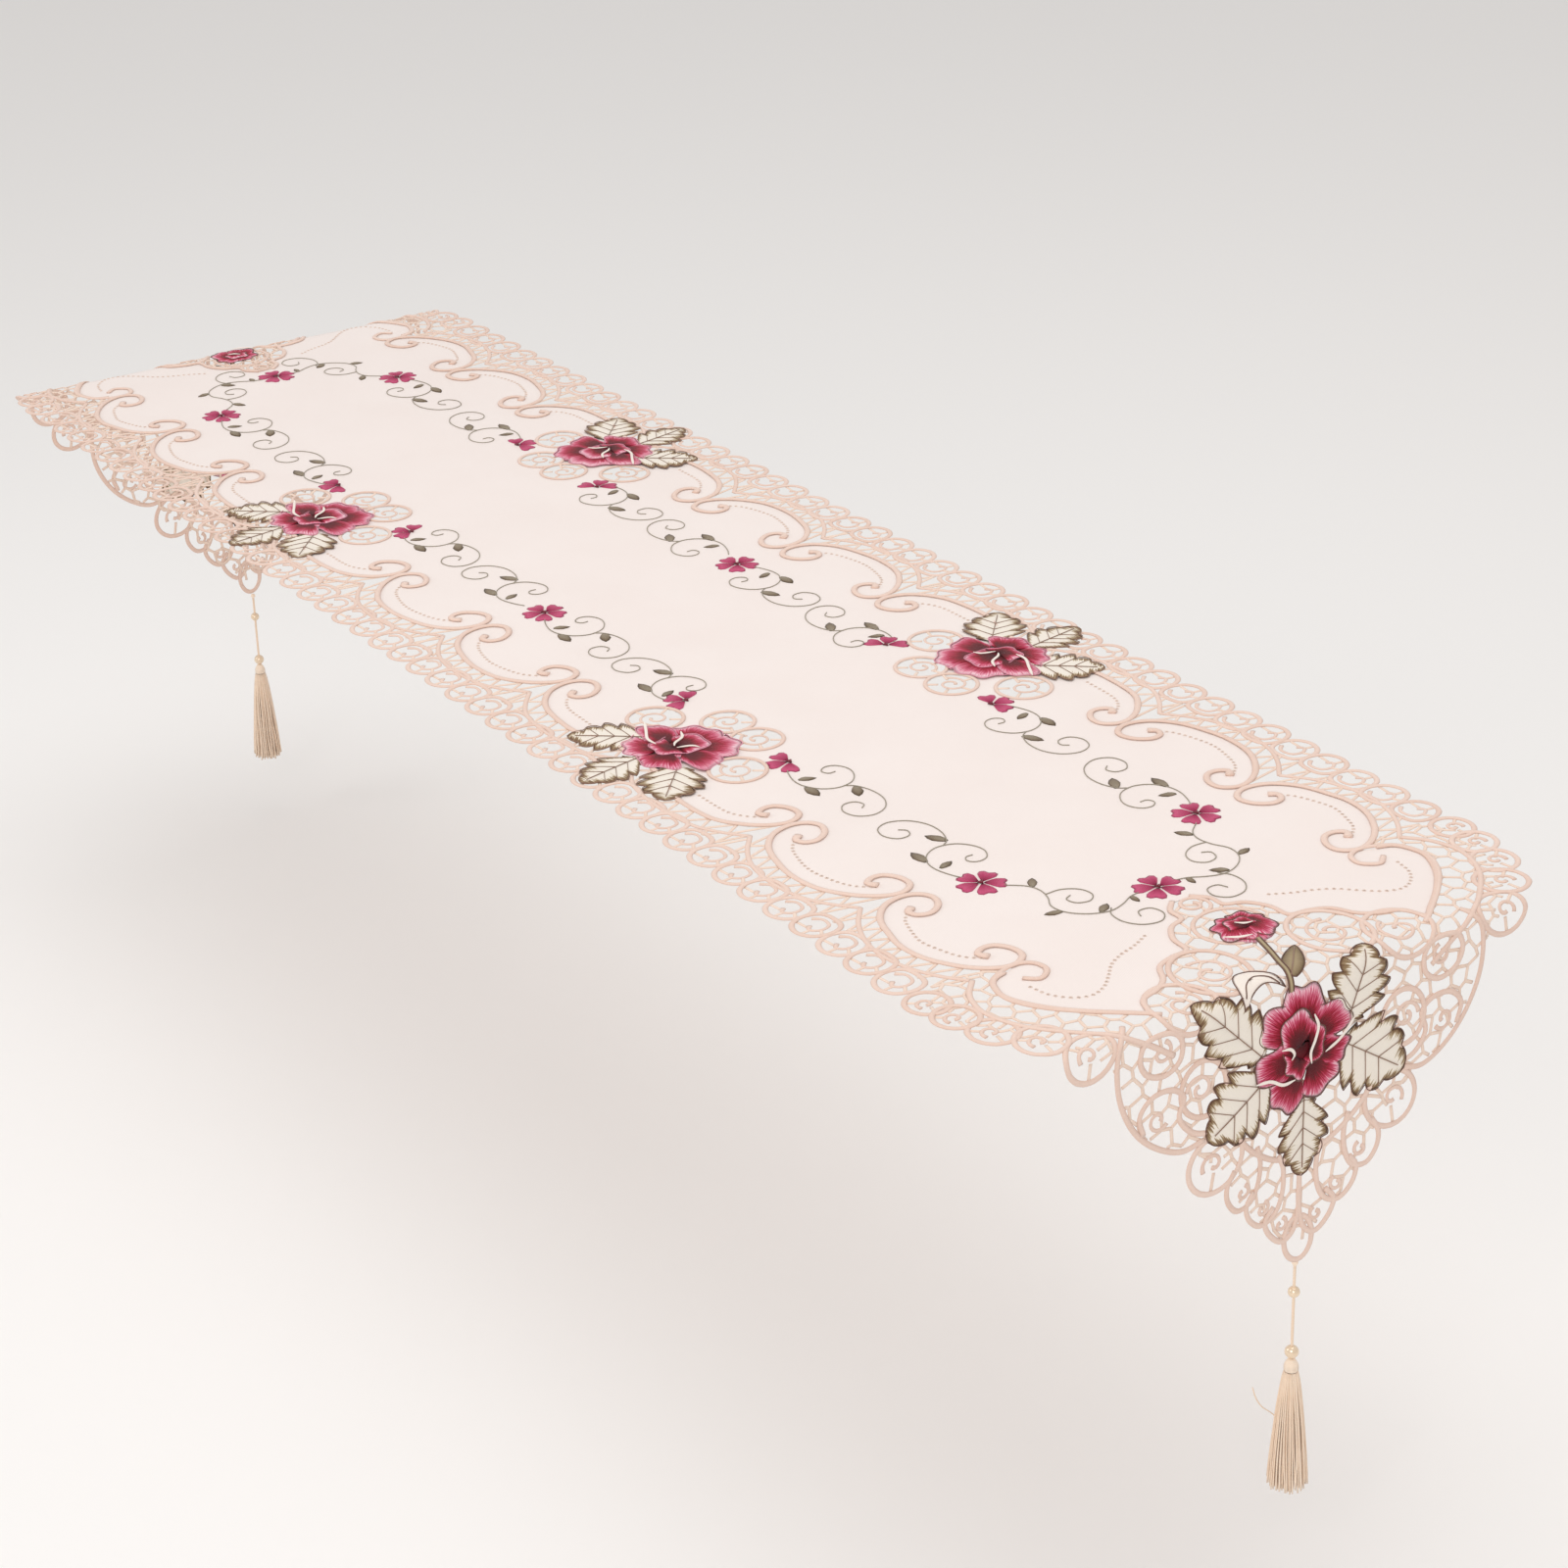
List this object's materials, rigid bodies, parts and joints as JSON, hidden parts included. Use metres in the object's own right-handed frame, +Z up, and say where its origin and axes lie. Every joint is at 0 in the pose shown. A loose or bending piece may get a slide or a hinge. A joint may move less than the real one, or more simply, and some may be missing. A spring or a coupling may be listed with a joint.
{
  "type": "table runner",
  "caption": "Long narrow satin runner with openwork lace border, appliqué roses and pointed ends that hang over a table with tassels.",
  "frame": {"origin": "middle of the runner's flat underside, on the tabletop it lies on", "axes": "+X along the runner towards its near hanging end, +Y across it towards the back edge, +Z up out of the tabletop"},
  "size_m": [1.401, 0.4, 0.3718],
  "materials": {
    "ground_satin": "fine cream satin weave",
    "lace_cord": "peach satin-stitched cord openwork",
    "rose_thread": "crimson to pink satin stitch",
    "leaf_thread": "cream satin stitch with olive brown edge",
    "stem_thread": "brown satin stitch",
    "pearl_bead": "pearl lustre",
    "tassel_silk": "glossy rayon thread",
    "tassel_cord_silk": "twisted rayon cord"
  },
  "bodies": {
    "root": {"ground_cloth": "ground_satin", "front_lace_border": "lace_cord", "back_lace_border": "lace_cord", "near_end_lace": "lace_cord", "far_end_lace": "lace_cord", "near_bud": "rose_thread", "far_bud": "rose_thread", "near_bud_stem": "stem_thread", "near_bud_leaf": "leaf_thread", "near_curled_leaf": "leaf_thread", "front_near_rose": "rose_thread", "front_near_leaf_1": "leaf_thread", "front_near_leaf_2": "leaf_thread", "front_near_leaf_3": "leaf_thread", "front_far_rose": "rose_thread", "front_far_leaf_1": "leaf_thread", "front_far_leaf_2": "leaf_thread", "front_far_leaf_3": "leaf_thread", "back_near_rose": "rose_thread", "back_near_leaf_1": "leaf_thread", "back_near_leaf_2": "leaf_thread", "back_near_leaf_3": "leaf_thread", "back_far_rose": "rose_thread", "back_far_leaf_1": "leaf_thread", "back_far_leaf_2": "leaf_thread", "back_far_leaf_3": "leaf_thread"},
    "near_drop": {"near_point_lace": "lace_cord", "near_rose": "rose_thread", "near_leaf_1": "leaf_thread", "near_leaf_2": "leaf_thread", "near_leaf_3": "leaf_thread", "near_leaf_4": "leaf_thread", "near_leaf_5": "leaf_thread"},
    "far_drop": {"far_point_lace": "lace_cord", "far_rose": "rose_thread", "far_leaf_1": "leaf_thread", "far_leaf_2": "leaf_thread", "far_leaf_3": "leaf_thread", "far_leaf_4": "leaf_thread", "far_leaf_5": "leaf_thread", "far_bud_stem": "stem_thread", "far_bud_leaf": "leaf_thread", "far_curled_leaf": "leaf_thread"},
    "near_tassel_cord": {"near_tassel_knot": "tassel_cord_silk", "near_tassel_cord": "tassel_cord_silk", "near_upper_bead": "pearl_bead", "near_lower_bead": "pearl_bead"},
    "near_tassel": {"near_tassel_head": "tassel_silk", "near_tassel_skirt": "tassel_silk"},
    "far_tassel_cord": {"far_tassel_knot": "tassel_cord_silk", "far_tassel_cord": "tassel_cord_silk", "far_upper_bead": "pearl_bead", "far_lower_bead": "pearl_bead"},
    "far_tassel": {"far_tassel_head": "tassel_silk", "far_tassel_skirt": "tassel_silk"}
  },
  "joints": [
    {"name": "near_drop_lift", "type": "hinge", "parent": "root", "child": "near_drop", "pos_m": [0.705, 0, 0.0006], "axis": [0, -1, 0], "range_deg": [0, 90]},
    {"name": "far_drop_lift", "type": "hinge", "parent": "root", "child": "far_drop", "pos_m": [-0.668, 0, 0.0006], "axis": [0, 1, 0], "range_deg": [0, 90]},
    {"name": "near_tassel_sway", "type": "hinge", "parent": "near_drop", "child": "near_tassel_cord", "pos_m": [0.705, 0, -0.1824], "axis": [1, 0, 0], "range_deg": [-60, 60]},
    {"name": "near_tassel_swing", "type": "hinge", "parent": "near_tassel_cord", "child": "near_tassel", "pos_m": [0.705, 0, -0.2411], "axis": [0, -1, 0], "range_deg": [-60, 60]},
    {"name": "far_tassel_sway", "type": "hinge", "parent": "far_drop", "child": "far_tassel_cord", "pos_m": [-0.668, 0, -0.2194], "axis": [-1, 0, 0], "range_deg": [-60, 60]},
    {"name": "far_tassel_swing", "type": "hinge", "parent": "far_tassel_cord", "child": "far_tassel", "pos_m": [-0.668, 0, -0.2781], "axis": [0, 1, 0], "range_deg": [-60, 60]}
  ]
}
